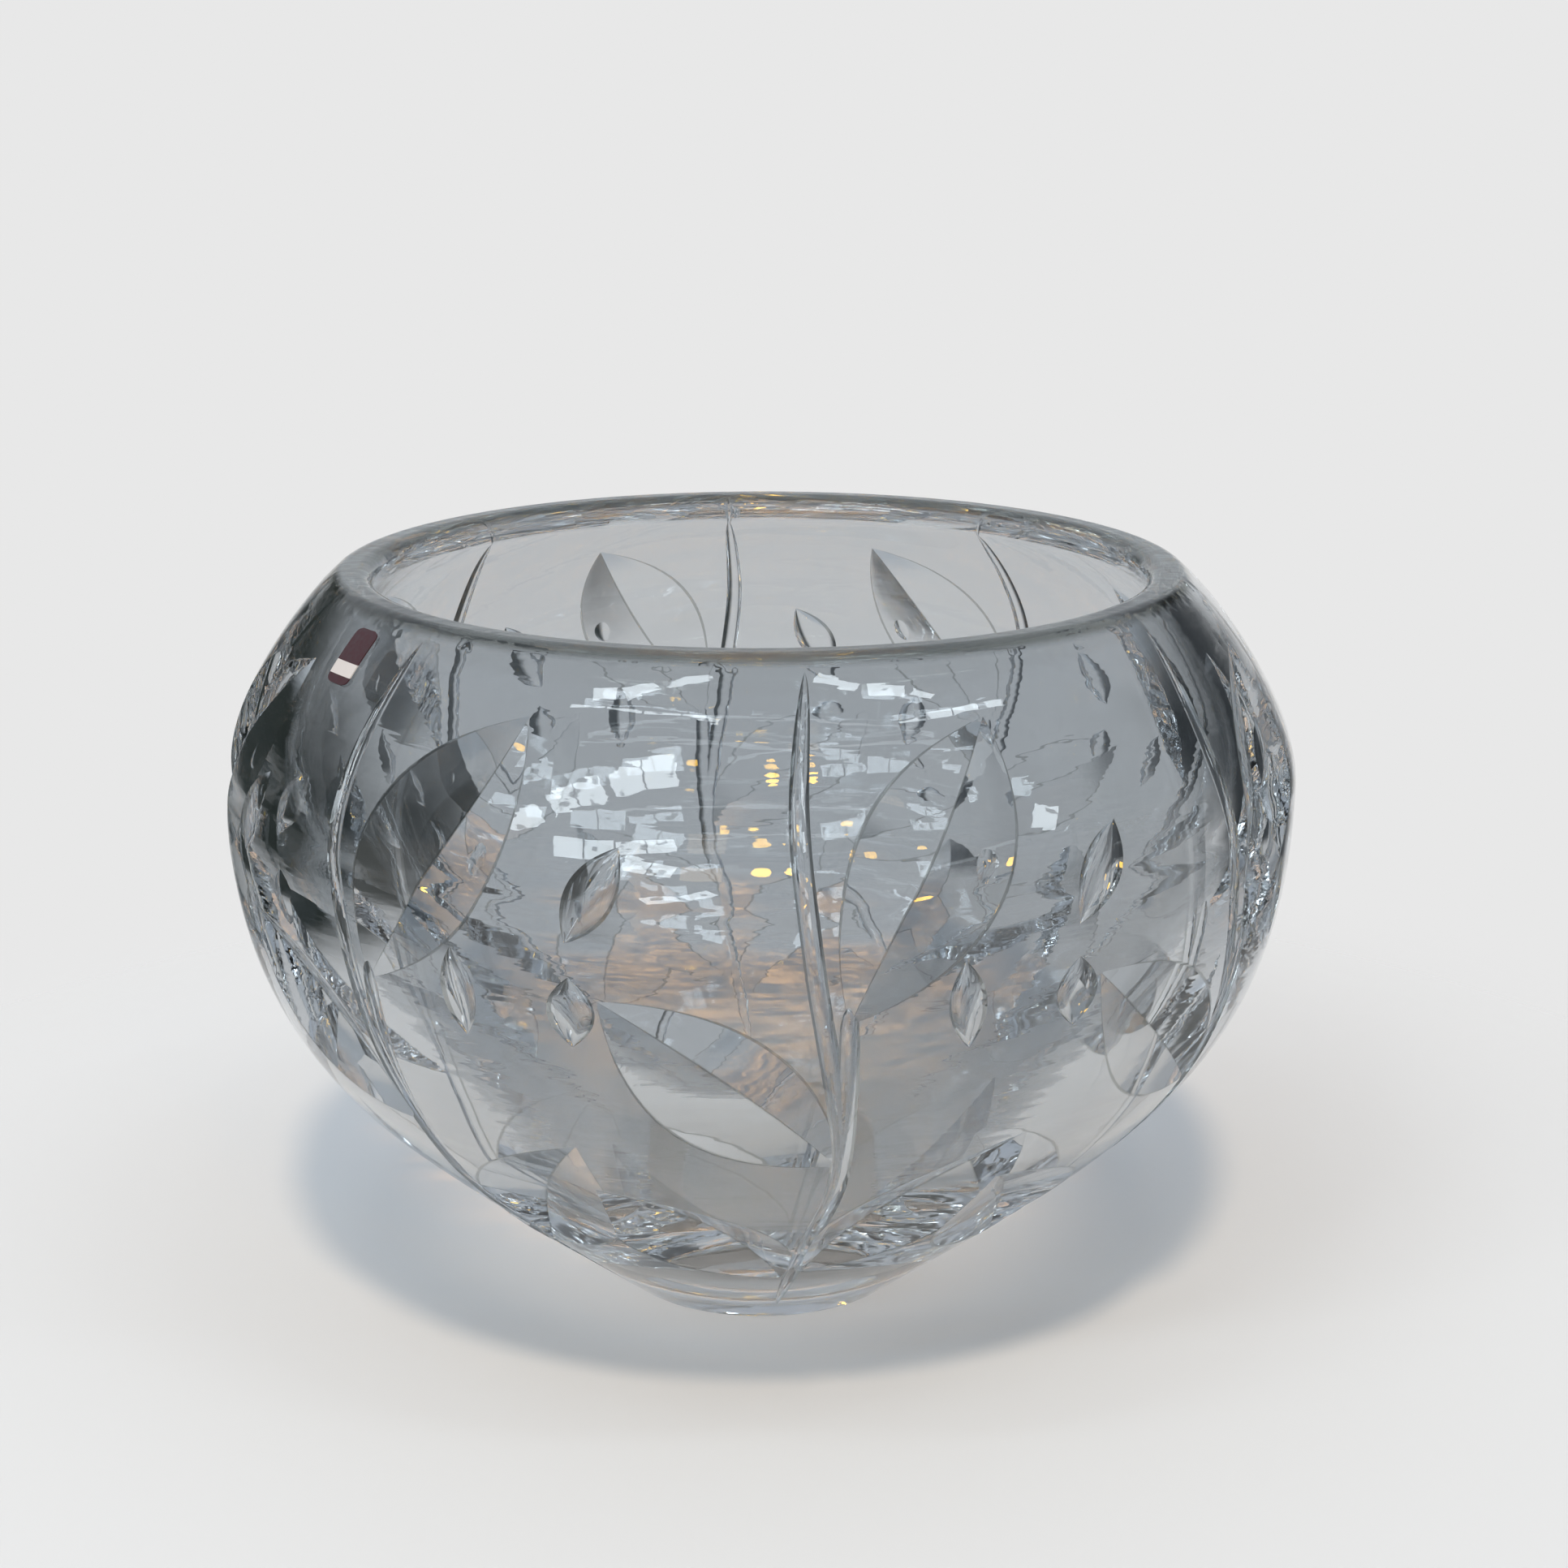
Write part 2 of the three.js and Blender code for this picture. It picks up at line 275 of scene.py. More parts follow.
def wall_at(distance):
    """Radius, height and direction of the outer wall. Past its ends the wall runs straight on."""
    inside = np.clip(distance, 0, rim_distance)
    place = np.array([np.interp(inside, wall_distance, wall_place[:, k]) for k in (0, 1)])
    along = np.array([np.interp(inside, wall_distance, wall_along[:, k]) for k in (0, 1)])
    return place + along * (distance - inside), along


def on_wall(turn, distance, lift):
    """Points on the outer wall, lifted off it. A negative lift is inside the glass."""
    place, along = wall_at(distance)
    radius = place[0] + lift * along[1]
    angle = np.radians(turn)
    return np.stack([radius * np.sin(angle), -radius * np.cos(angle), place[1] - lift * along[0]], -1)


# %% How a wheel swells and sinks in
eased_from = 0.95


def pointed(share):
    """A cut that swells from a point to its full width and back."""
    return 4 * share * (1 - share)


def even(share):
    """A cut that keeps its width and runs out quickly at its two ends."""
    return 1 - abs(2 * share - 1) ** 6


def mitre(across):
    """Depth of a sharp wheel's groove across its width, from -1 to 1, a little eased at its edges."""
    return np.interp(abs(across), [0, eased_from, 1], [1, (1 - eased_from) / 2, 0])


def dish(across):
    """Depth of a rounded wheel's groove across its width."""
    return 1 - across**2


def spread(size, here):
    """Turns a width in mm at a place of the wall into degrees round the bowl."""
    return np.degrees(size / wall_at(here)[0][0])


print("share of its depth where a sharp cut starts to ease:", round(float(mitre(eased_from)), 3))

# %% Make the solid that one pass of the wheel takes away
overreach = 0.4
clearance = 2.0
BLOWN, CUT, EDGE = 0, 1, 2


def wheel_cut(path, lean, swell, edge, across, left, right, depth, steps):
    """Rings of points of a cut. The path gives turn and distance, across the places over the width."""
    beyond = overreach / (across[1] - across[0])
    angle = math.radians(lean)
    rings = []
    for share in steps_between(0, 1, steps):
        turn, distance = path(share)
        size = swell(share)
        offset = across * size * np.where(across < 0, left, right)
        place = distance - offset * math.sin(angle)
        swing = spread(offset * math.cos(angle), place)
        ring = on_wall(turn + swing, place, -edge(across) * size * depth)
        ring[0] += beyond * (ring[0] - ring[1])
        ring[-1] += beyond * (ring[-1] - ring[-2])
        rings.append([*ring, on_wall(turn, distance, clearance + depth)])
    return np.array(rings)


def closed_mesh(name, rings, edges):
    """A closed mesh through rings, with some strips marked as edges. Points that meet are merged."""
    mesh = bpy.data.meshes.new(name)
    build = bmesh.new()
    rows = [[build.verts.new(Vector(p) * MM) for p in ring] for ring in rings]
    count = len(rows[0])
    for low, high in zip(rows, rows[1:]):
        for i in range(count):
            j = (i + 1) % count
            pair = [build.faces.new((low[i], low[j], high[j])), build.faces.new((low[i], high[j], high[i]))]
            for face in pair:
                face.material_index = EDGE if i in edges else CUT
    for face in (build.faces.new(rows[0][::-1]), build.faces.new(rows[-1])):
        face.material_index = CUT
    bmesh.ops.remove_doubles(build, verts=build.verts, dist=2e-7)
    bmesh.ops.triangulate(build, faces=[f for f in build.faces if len(f.verts) > 4])
    bmesh.ops.recalc_face_normals(build, faces=build.faces)
    if build.calc_volume(signed=True) < 0:
        bmesh.ops.reverse_faces(build, faces=build.faces)
    build.to_mesh(mesh)
    build.free()
    return mesh


# %% [markdown]
# ## One spray
#
# The decoration is the usual leaf and olive spray of table crystal: a stem that climbs from foot
# to rim, two broad leaves by the foot, one in the middle on the left, one at the shoulder on the
# right, and four olives beside that. Places on it are a turn round the bowl and a distance up the
# wall from the foot, as a cutter marks them with a tape, and most are told from the belly or the
# rim. It is repeated eight times.

# %% Sizes of a spray
leaf_depth = 4.6
olive_depth = 2.2
stem_width = 4.2
stem_depth = 1.0
belly = belly_distance
leaves = [
    dict(base=(3.9, belly - 57), tip=(-19.3, belly - 17), left=14.7, right=14.7),
    dict(base=(4.1, belly - 21), tip=(20.1, rim_distance - 15), left=16.5, right=15.5),
    dict(base=(-0.4, 38), tip=(-25, belly - 69), left=19, right=16),
    dict(base=(3.3, 44), tip=(25.4, belly - 54), left=15, right=18),
]
olives = [
    dict(turn=17, distance=belly + 9.5, length=15, width=9, lean=8),
    dict(turn=29.5, distance=belly + 4, length=22, width=10, lean=28),
    dict(turn=27.3, distance=belly - 20, length=15, width=10, lean=0),
    dict(turn=15.5, distance=belly - 19, length=19, width=8, lean=-6),
]
stem_bends = [
    (0.2, 12),
    (2.6, belly - 91),
    (4.3, belly - 57),
    (0.9, belly - 10),
    (-0.4, belly + 20),
    (1, rim_distance - 3),
]
stalk = [(4.1, belly - 21 + stem_width), (4.5, belly - 57 - stem_width)]
print("a spray has", len(leaves), "leaves and", len(olives), "olives")

# %% Paths that a wheel follows


def straight(start, end):
    """A straight path between two places and how far it leans from upright."""
    start, end = np.array(start, float), np.array(end, float)
    radius = wall_at((start[1] + end[1]) / 2)[0][0]
    sideways = math.radians(end[0] - start[0]) * radius
    lean = math.degrees(math.atan2(sideways, end[1] - start[1]))
    return (lambda share: start + (end - start) * share), lean


def spline(points):
    """A smooth path through points, each stretch taking an equal share of it."""
    points = np.array(points, float)

    def place(share):
        reach = share * (len(points) - 1)
        i = min(int(reach), len(points) - 2)
        t = reach - i
        p0, p1, p2, p3 = (points[k] for k in (max(i - 1, 0), i, i + 1, min(i + 2, len(points) - 1)))
        if i == 0:
            p0 = p1
        if i == len(points) - 2:
            p3 = p2
        v0, v1 = (p2 - p0) / 2, (p3 - p1) / 2
        return (
            (2 * p1 - 2 * p2 + v0 + v1) * t**3 + (-3 * p1 + 3 * p2 - 2 * v0 - v1) * t**2 + v0 * t + p1
        )

    return place


# %% Cut each kind of groove
# Each groove has places over its width, from -1 to 1. The strips beside its rims and beside the
# bottom of a V are its edges, counted from the left.
half_places = [0.02, 0.2, 0.45, 0.7, eased_from, 1]
v_places = np.array([-p for p in half_places[::-1]] + [0] + half_places)
v_edges = {0, 5, 6, 11}
dish_places = steps_between(-1, 1, 12)
dish_edges = {0, 11}
stem_places = steps_between(-1, 1, 8)
stem_edges = {0, 7}
leaf_steps, olive_steps, stem_steps, stalk_steps = 40, 20, 90, 24


def leaf_rings(leaf, turn):
    path, lean = straight(*[(turn + leaf[end][0], leaf[end][1]) for end in ("base", "tip")])
    sides = leaf["left"], leaf["right"]
    return wheel_cut(path, lean, pointed, mitre, v_places, *sides, leaf_depth, leaf_steps)


def olive_rings(olive, turn):
    angle = math.radians(olive["lean"])
    rise = olive["length"] / 2 * math.cos(angle)
    swing = spread(olive["length"] / 2 * math.sin(angle), olive["distance"])
    middle = np.array([turn + olive["turn"], olive["distance"]])
    path, lean = straight(middle - [swing, rise], middle + [swing, rise])
    half = olive["width"] / 2
    return wheel_cut(path, lean, pointed, dish, dish_places, half, half, olive_depth, olive_steps)


def stem_rings(points, turn, steps):
    curve = spline([(turn + t, d) for t, d in points])
    half = stem_width / 2
    return wheel_cut(curve, 0, even, dish, stem_places, half, half, stem_depth, steps)


def spray(turn):
    """The rings of all the cuts of one spray, each with the strips that are edges."""
    stems = ((stem_bends, stem_steps), (stalk, stalk_steps))
    return (
        [(leaf_rings(leaf, turn), v_edges) for leaf in leaves]
        + [(olive_rings(olive, turn), dish_edges) for olive in olives]
        + [(stem_rings(points, turn, steps), stem_edges) for points, steps in stems]
    )


# The first spray stands a little right of the front, and they are wider apart there than behind.
sprays_round = 8
first_turn, even_turn, uneven_turn = 4, 360 / sprays_round, 6
spray_turns = [
    first_turn + even_turn * i + uneven_turn * math.sin(math.radians(even_turn * i))
    for i in range(sprays_round)
]
print("sprays stand at", [round(t, 1) for t in spray_turns], "degrees")

# %% [markdown]
# ## Cutting the bowl
#
# All the solids are first joined into one, which stays quick because they are small, and that one
# is then taken away from the bowl in a single cut. Its faces keep their own place in the list of
# materials, so afterwards it is known which glass was blown, which was cut, and which faces are
# the narrow strips where a cut begins.

# %% Join the cuts and take them out of the blown bowl
crystal = bpy.data.materials.new("lead_crystal_polished")
edge_mark = bpy.data.materials.new("edge_mark")


def solid(name, mesh):
    """An object with a place in its list of materials for each kind of surface: blown, cut and edge."""
    made = bpy.data.objects.new(name, mesh)
    for place in (None, crystal, edge_mark):
        mesh.materials.append(place)
    scene.collection.objects.link(made)
    return made


def combine(target, other, operation):
    """Joins the other solid to the target, or takes it away, and deletes the other."""
    step = target.modifiers.new("step", "BOOLEAN")
    step.operation, step.solver, step.object = operation, "MANIFOLD", other
    bpy.context.view_layer.update()
    seen = target.evaluated_get(bpy.context.evaluated_depsgraph_get())
    result = bpy.data.meshes.new_from_object(seen)
    target.modifiers.remove(step)
    spare = [target.data, other.data]
    target.data = result
    bpy.data.objects.remove(other)
    for mesh in spare:
        bpy.data.meshes.remove(mesh)


def all_cuts():
    """One solid of everything that the wheels take away."""
    sprays = []
    for turn in spray_turns:
        pieces = [solid("wheel_cut", closed_mesh("wheel_cut", *cut)) for cut in spray(turn)]
        for piece in pieces[1:]:
            combine(pieces[0], piece, "UNION")
        sprays.append(pieces[0])
    for one in sprays[1:]:
        combine(sprays[0], one, "UNION")
    return sprays[0]


bowl = solid("crystal_bowl", turned_mesh("crystal_bowl", section, turn_steps))
combine(bowl, all_cuts(), "DIFFERENCE")
faces = bowl.data.polygons
print("cut bowl:", len(faces), "faces,", sum(f.material_index != BLOWN for f in faces), "of them cut")

# %% [markdown]
# ## True directions for the light
#
# A render works out reflections from the direction that each point of the surface faces. On the
# blown glass that direction is known exactly from the profile, so it is written there. On a cut
# the flanks are smooth but meet in crisp edges, so each corner takes the mean of the faces round
# it that lean the same way, which leaves the edges as sharp as the wheel made them.

# %% Points close together on the section, with their directions
close_steps = 12
smooth_runs = []
for points, out in section_runs:
    known = np.arange(len(points))
    share = steps_between(0, len(points) - 1, close_steps * (len(points) - 1))
    place = np.stack([np.interp(share, known, points[:, k]) for k in (0, 1)], 1)
    normal = np.stack([np.interp(share, known, out[:, k]) for k in (0, 1)], 1)
    smooth_runs.append((place, normal / np.linalg.norm(normal, axis=1)[:, None]))
print("directions known at", sum(len(place) for place, _ in smooth_runs), "points of the section")

# %% Read the cut bowl as arrays


def read(items, name, wide, kind=np.float32):
    """One property of many parts of a mesh as one array, with so many numbers for each."""
    values = np.zeros(len(items) * wide, kind)
    items.foreach_get(name, values)
    return values.reshape(-1, wide) if wide > 1 else values


mesh = bowl.data
where = read(mesh.vertices, "co", 3) / MM
corner = read(mesh.loops, "vertex_index", 1, np.int32)
kind = read(mesh.polygons, "material_index", 1, np.int32)
flat = read(mesh.polygons, "normal", 3)
centre = read(mesh.polygons, "center", 3) / MM
area = read(mesh.polygons, "area", 1)
face = np.repeat(np.arange(len(kind)), read(mesh.polygons, "loop_total", 1, np.int32))
directions = flat[face].copy()
print("the cut bowl has", len(corner), "corners of faces")

# %% Directions on the blown glass


def nearest(points, targets):
    """For each point of the section the number of the nearest target."""
    tree = KDTree(len(targets))
    for number, (radius, height) in enumerate(targets):
        tree.insert((radius, height, 0), number)
    tree.balance()
    return np.array([tree.find((radius, height, 0))[1] for radius, height in points])


blown = np.nonzero(kind == BLOWN)[0]
middle = np.stack([np.hypot(centre[blown, 0], centre[blown, 1]), centre[blown, 2]], 1)
run_of = np.concatenate([np.full(len(place), k) for k, (place, _) in enumerate(smooth_runs)])
run = np.full(len(kind), -1)
run[blown] = run_of[nearest(middle, np.concatenate([place for place, _ in smooth_runs]))]
radius = np.hypot(where[:, 0], where[:, 1])
for k, (place, normal) in enumerate(smooth_runs):
    on_run = np.nonzero(run[face] == k)[0]
    seen, back = np.unique(corner[on_run], return_inverse=True)
    section_normal = normal[nearest(np.stack([radius[seen], where[seen, 2]], 1), place)]
    spoke = where[seen, :2] / np.maximum(radius[seen], 1e-6)[:, None]
    turned = np.column_stack([spoke * section_normal[:, :1], section_normal[:, 1]])
    directions[on_run] = turned[back]
print("blown corners:", int(np.sum(kind[face] == BLOWN)))

# %% Directions on the cuts
SAME_FLANK = math.cos(math.radians(11))
wall_direction = np.zeros((len(where), 3))
on_side = np.nonzero(run[face] == len(smooth_runs) - 1)[0]
wall_direction[corner[on_side]] = directions[on_side]
cut = np.nonzero(kind[face] != BLOWN)[0]
order = cut[np.argsort(corner[cut], kind="stable")]
for group in np.split(order, np.nonzero(np.diff(corner[order]))[0] + 1):
    sides = flat[face[group]]
    alike = (sides @ sides.T > SAME_FLANK) * area[face[group]]
    directions[group] = alike @ sides

# Where a cut runs out into the wall it takes the wall's own direction, so no false edge shows.
level = cut[np.sum(flat[face[cut]] * wall_direction[corner[cut]], axis=1) > SAME_FLANK]
directions[level] = wall_direction[corner[level]]
directions /= np.maximum(np.linalg.norm(directions, axis=1), 1e-12)[:, None]
print("cut corners:", len(cut), "of them", len(level), "level with the wall")

# %% Write the directions, and tell each face what it is
mesh.polygons.foreach_set("use_smooth", [True] * len(kind))
mesh.normals_split_custom_set(directions.tolist())

# One piece of glass has one material. Two numbers on each face tell it what was cut.
for name, found in (("wheel_cut", kind != BLOWN), ("cut_edge", kind == EDGE)):
    mesh.attributes.new(name, "FLOAT", "FACE").data.foreach_set("value", found.astype(np.float32))
mesh.materials.clear()
bpy.data.materials.remove(edge_mark)
mesh.materials.append(crystal)
mesh.polygons.foreach_set("material_index", [0] * len(kind))
mesh.update()
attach(bowl, "root")
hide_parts("glass_bowl")

# %% [markdown]
# ## Crystal
#
# Lead crystal is glass with lead oxide in it, which makes it heavy and bends light more than
# window glass does: an index of about 1.545 against 1.52. The inside and the uncut outside were
# smoothed by the fire, so they are nearly perfect mirrors, with very faint bands round the bowl
# where the glass was turned. The cuts were smoothed by acid, which leaves a soft ripple from the
# wheel. It is one glass all through, so it has one material, and each face says by its numbers
# whether the bands or the ripple belong there. The glass takes on a little grey with its depth.
# Where a cut begins, and round the top of the rim, the surface turns within a few tenths of a
# millimetre and light gets lost. A render would lose it only with far finer shapes, so those
# narrow strips get painted shade, a darker tint that draws the fine dark lines of cut glass.

# %% Helpers for materials


def linear(code):
    """A colour written as sRGB hex, such as a0b1c2, as the linear values that a shader takes."""
    parts = [int(code[i : i + 2], 16) / 255 for i in (0, 2, 4)]
    return (*[c / 12.92 if c <= 0.04045 else ((c + 0.055) / 1.055) ** 2.4 for c in parts], 1)


def add(owner, node, inputs=(), **settings):
    """Adds a node to a material, a lamp or the room. An input that is given a socket is linked to it."""
    made = owner.node_tree.nodes.new(node)
    for name, value in settings.items():
        setattr(made, name, value)
    for name, value in dict(inputs).items():
        if isinstance(value, bpy.types.NodeSocket):
            owner.node_tree.links.new(value, made.inputs[name])
        else:
            made.inputs[name].default_value = value
    return made


def link(material, socket, target):
    material.node_tree.links.new(socket, target)


def start_material(material, **plain):
    """Empties a material and gives it one Principled shader with plain values."""
    material.use_nodes = True
    material.node_tree.nodes.clear()
    shader = add(material, "ShaderNodeBsdfPrincipled", {k.replace("_", " "): v for k, v in plain.items()})
    return shader, add(material, "ShaderNodeOutputMaterial", {"Surface": shader.outputs["BSDF"]})


def per_metre(size):
    """The texture scale that gives a pattern of about this size in mm."""
    return 1 / (size * MM)


# %% Lead crystal, fire-polished and wheel-cut: clear, glossy, grey in its depth
CRYSTAL_TINT = linear("ced2d5")
# The next two colours are painted shade: the dark lines at cut edges and round the rim top.
EDGE_PAINTED_SHADE = linear("868a88")
RIM_PAINTED_SHADE = linear("62655e")
CRYSTAL_INDEX = 1.545
DEPTH_SHADE = linear("8c9399")
SHADE_PER_METRE = 0.5

shader, output = start_material(crystal, IOR=CRYSTAL_INDEX, Transmission_Weight=1.0)
depth = add(crystal, "ShaderNodeVolumeAbsorption", {"Color": DEPTH_SHADE, "Density": SHADE_PER_METRE})
link(crystal, depth.outputs["Volume"], output.inputs["Volume"])
place = add(crystal, "ShaderNodeTexCoord").outputs["Object"]
height = add(crystal, "ShaderNodeSeparateXYZ", {"Vector": place}).outputs["Z"]
is_cut = add(crystal, "ShaderNodeAttribute", attribute_name="wheel_cut").outputs["Fac"]
is_edge = add(crystal, "ShaderNodeAttribute", attribute_name="cut_edge").outputs["Fac"]
smooth_step = {"interpolation_type": "SMOOTHSTEP"}
blend = {"data_type": "RGBA"}

# %% Painted shade: darker lines where cuts begin and round the top of the rim
shade_below_top = {"From Min": (bowl_height - 2.8) * MM, "From Max": (bowl_height - 1) * MM}
at_top = add(crystal, "ShaderNodeMapRange", {"Value": height, **shade_below_top}, **smooth_step)
# Painted shade on the edge strips, then on the top of the rim, over the crystal's own tint.
tint_and_painted_shade = add(crystal, "ShaderNodeMix", {0: is_edge, 6: CRYSTAL_TINT, 7: EDGE_PAINTED_SHADE}, **blend).outputs[2]
tint_and_painted_shade = add(crystal, "ShaderNodeMix", {0: at_top.outputs["Result"], 6: tint_and_painted_shade, 7: RIM_PAINTED_SHADE}, **blend)
link(crystal, tint_and_painted_shade.outputs[2], shader.inputs["Base Color"])

# %% Bands on the blown glass, ripple on the cuts, small waves on the rim
# Each is a size over the glass and a height, in mm. The heights are drawn a little higher than
# the real ones, which would be too faint to show.
broad_band, broad_height = 70, 0.12
fine_band, fine_height = 22, 0.03
wheel_ripple, ripple_height = 5, 0.016
rim_wave, wave_height = 4, 0.12
band_stretch = 7

flattened = add(crystal, "ShaderNodeMapping", {"Vector": place, "Scale": (1, 1, band_stretch)})
flattened = flattened.outputs["Vector"]
broad = {"Vector": flattened, "Scale": per_metre(broad_band), "Detail": 4.0, "Roughness": 0.45}
broad = add(crystal, "ShaderNodeTexNoise", broad).outputs["Fac"]
fine = {"Vector": flattened, "Scale": per_metre(fine_band), "Detail": 2.0, "Roughness": 0.5}
fine = add(crystal, "ShaderNodeTexNoise", fine).outputs["Fac"]
ripple = {"Vector": place, "Scale": per_metre(wheel_ripple), "Detail": 1.0, "Roughness": 0.4}
ripple = add(crystal, "ShaderNodeTexNoise", ripple).outputs["Fac"]
waves = {"Vector": place, "Scale": per_metre(rim_wave), "Detail": 1.0}
waves = add(crystal, "ShaderNodeTexNoise", waves).outputs["Fac"]

bands = add(crystal, "ShaderNodeMath", {0: broad, 1: broad_height * MM}, operation="MULTIPLY").outputs[0]
bands = add(
    crystal, "ShaderNodeMath", {0: fine, 1: fine_height * MM, 2: bands}, operation="MULTIPLY_ADD"
).outputs[0]
ripple = add(crystal, "ShaderNodeMath", {0: ripple, 1: ripple_height * MM}, operation="MULTIPLY").outputs[0]
waves = add(crystal, "ShaderNodeMath", {0: waves, 1: wave_height * MM}, operation="MULTIPLY").outputs[0]
wave_below_top = {"From Min": (bowl_height - 4) * MM, "From Max": (bowl_height - 2) * MM}
on_rim = add(crystal, "ShaderNodeMapRange", {"Value": height, **wave_below_top}, **smooth_step)
relief = add(crystal, "ShaderNodeMix", {0: is_cut, 2: bands, 3: ripple}).outputs[0]
relief = add(crystal, "ShaderNodeMix", {0: on_rim.outputs["Result"], 2: relief, 3: waves}).outputs[0]
bump = add(crystal, "ShaderNodeBump", {"Height": relief, "Strength": 1.0, "Distance": 1.0})
link(crystal, bump.outputs["Normal"], shader.inputs["Normal"])

# %% Where hands and cloths have dulled the polish a little
touch_size = 18
most_dulled = 0.03
touch = {"Vector": place, "Scale": per_metre(touch_size), "Detail": 4.0, "Roughness": 0.6}
touch = add(crystal, "ShaderNodeTexNoise", touch).outputs["Fac"]
dulled = {"Value": touch, "From Min": 0.45, "From Max": 0.75, "To Min": 0.0, "To Max": most_dulled}
dulled = add(crystal, "ShaderNodeMapRange", dulled).outputs["Result"]
link(crystal, dulled, shader.inputs["Roughness"])
print("crystal made of", len(crystal.node_tree.nodes), "nodes")

# %% [markdown]
# ## The label
#
# Such a bowl carries a small sticker of printed foil on its shoulder. It is only a quarter of a
# millimetre thick, but it is made as a thin solid with rounded corners that follows the glass, so
# that its edge catches light. It stays plain: dark red with a pale band and nothing written on it.

# %% Make the label
label_turn = -54.8
label_width = 8.5
label_height = 13.0
label_corner = 1.8
label_gap = 0.25
label_thickness = 0.25
label_below_rim = 4.0
label_middle = rim_distance - label_below_rim - label_height / 2
label_steps_up, label_steps_across = 26, 14


def label_rows(lift):
    """A grid of points on the label's face or back, row by row from bottom to top."""
    rows = []
    for up in steps_between(-0.5, 0.5, label_steps_up) * label_height:
        into = min(max(abs(up) - (label_height / 2 - label_corner), 0), label_corner)
        half = label_width / 2 - (label_corner - math.sqrt(label_corner**2 - into**2))
        turns = label_turn + spread(steps_between(-half, half, label_steps_across), label_middle + up)
        rows.append([on_wall(turn, label_middle + up, lift) for turn in turns])
    return np.array(rows)


def thin_sheet(name, back, face):
    """A closed sheet between two grids of points."""
    mesh = bpy.data.meshes.new(name)
    build = bmesh.new()
    grids = [[[build.verts.new(Vector(p) * MM) for p in row] for row in grid] for grid in (back, face)]
    high, wide = back.shape[:2]
    for i in range(high - 1):
        for j in range(wide - 1):
            for grid, order in zip(grids, (-1, 1)):
                corners = [grid[i][j], grid[i][j + 1], grid[i + 1][j + 1], grid[i + 1][j]]
                build.faces.new(corners[::order])
    edge = (
        [(0, j) for j in range(wide)]
        + [(i, wide - 1) for i in range(1, high)]
        + [(high - 1, j) for j in range(wide - 2, -1, -1)]
        + [(i, 0) for i in range(high - 2, 0, -1)]
    )
    for (a, b), (c, d) in zip(edge, edge[1:] + edge[:1]):
        build.faces.new([grids[0][a][b], grids[0][c][d], grids[1][c][d], grids[1][a][b]])
    bmesh.ops.recalc_face_normals(build, faces=build.faces)
    build.to_mesh(mesh)
    build.free()
    return mesh


sheet = thin_sheet("label", label_rows(label_gap), label_rows(label_gap + label_thickness))
label = bpy.data.objects.new("label", sheet)
scene.collection.objects.link(label)
sheet.polygons.foreach_set("use_smooth", [True] * len(sheet.polygons))
sheet.set_sharp_from_angle(angle=math.radians(40))
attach(label, "root")
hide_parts("shoulder_label")
print("label:", len(sheet.polygons), "faces")

# %% Printed foil: satin, dark red with a pale band
foil = bpy.data.materials.new("printed_foil")
sheet.materials.append(foil)
shader, _ = start_material(foil, Metallic=0.0, IOR=1.5)
place = add(foil, "ShaderNodeTexCoord").outputs["Object"]
height = add(foil, "ShaderNodeSeparateXYZ", {"Vector": place}).outputs["Z"]
band_low, band_high = [
    on_wall(label_turn, label_middle + share * label_height, label_gap)[2] * MM for share in (-0.34, -0.1)
]
above = add(foil, "ShaderNodeMath", {0: height, 1: band_low}, operation="GREATER_THAN").outputs[0]
below = add(foil, "ShaderNodeMath", {0: height, 1: band_high}, operation="LESS_THAN").outputs[0]
in_band = add(foil, "ShaderNodeMath", {0: above, 1: below}, operation="MULTIPLY").outputs[0]

# The print's fine grain, which also makes the foil a little uneven to the touch.
print_grain = 1.2
grain_height = 0.02
grain = {"Vector": place, "Scale": per_metre(print_grain), "Detail": 3.0}
grain = add(foil, "ShaderNodeTexNoise", grain).outputs["Fac"]
ink = add(foil, "ShaderNodeMix", {0: grain, 6: linear("2a0e14"), 7: linear("42151d")}, **blend).outputs[2]
colour = add(foil, "ShaderNodeMix", {0: in_band, 6: ink, 7: linear("cfc8c4")}, **blend).outputs[2]
link(foil, colour, shader.inputs["Base Color"])
satin = {"Value": grain, "From Min": 0.3, "From Max": 0.7, "To Min": 0.28, "To Max": 0.45}
link(foil, add(foil, "ShaderNodeMapRange", satin).outputs["Result"], shader.inputs["Roughness"])
dents = add(foil, "ShaderNodeBump", {"Height": grain, "Strength": 0.5, "Distance": grain_height * MM})
link(foil, dents.outputs["Normal"], shader.inputs["Normal"])
print("foil made of", len(foil.node_tree.nodes), "nodes")

# %% [markdown]
# ## The studio
#
# Clear glass shows its surroundings, so what stands round it matters as much as the lamps. The
# floor is a plain pale sheet. It could be a plane that runs to the horizon, but lamps near the
# bowl would leave its far end dark, so it is a round sheet that thins out into surroundings of
# its own colour. Above the horizon they turn to a cool pale grey. On a pale ground alone glass
# loses its edges, so photographers stand dark cards beside it, just outside the picture, and the
# glass carries them to its edges as dark bands. Here the two cards are part of the surroundings,
# and the camera doesn't see them directly, from whichever side it looks.

# %% Matte board: pale, even, thinning out towards its rim
FLOOR_COLOUR = linear("e8e8e8")
floor_reach = 340 * MM
floor_solid = 0.55 * floor_reach
floor_corners = 128
floor_mesh = bpy.data.meshes.new("floor")
around = np.radians(steps_between(0, 360, floor_corners))[:-1]
rim_points = [(floor_reach * math.cos(a), floor_reach * math.sin(a), 0) for a in around]
floor_mesh.from_pydata(rim_points, [], [list(range(floor_corners))])
floor = bpy.data.objects.new("floor", floor_mesh)
scene.collection.objects.link(floor)

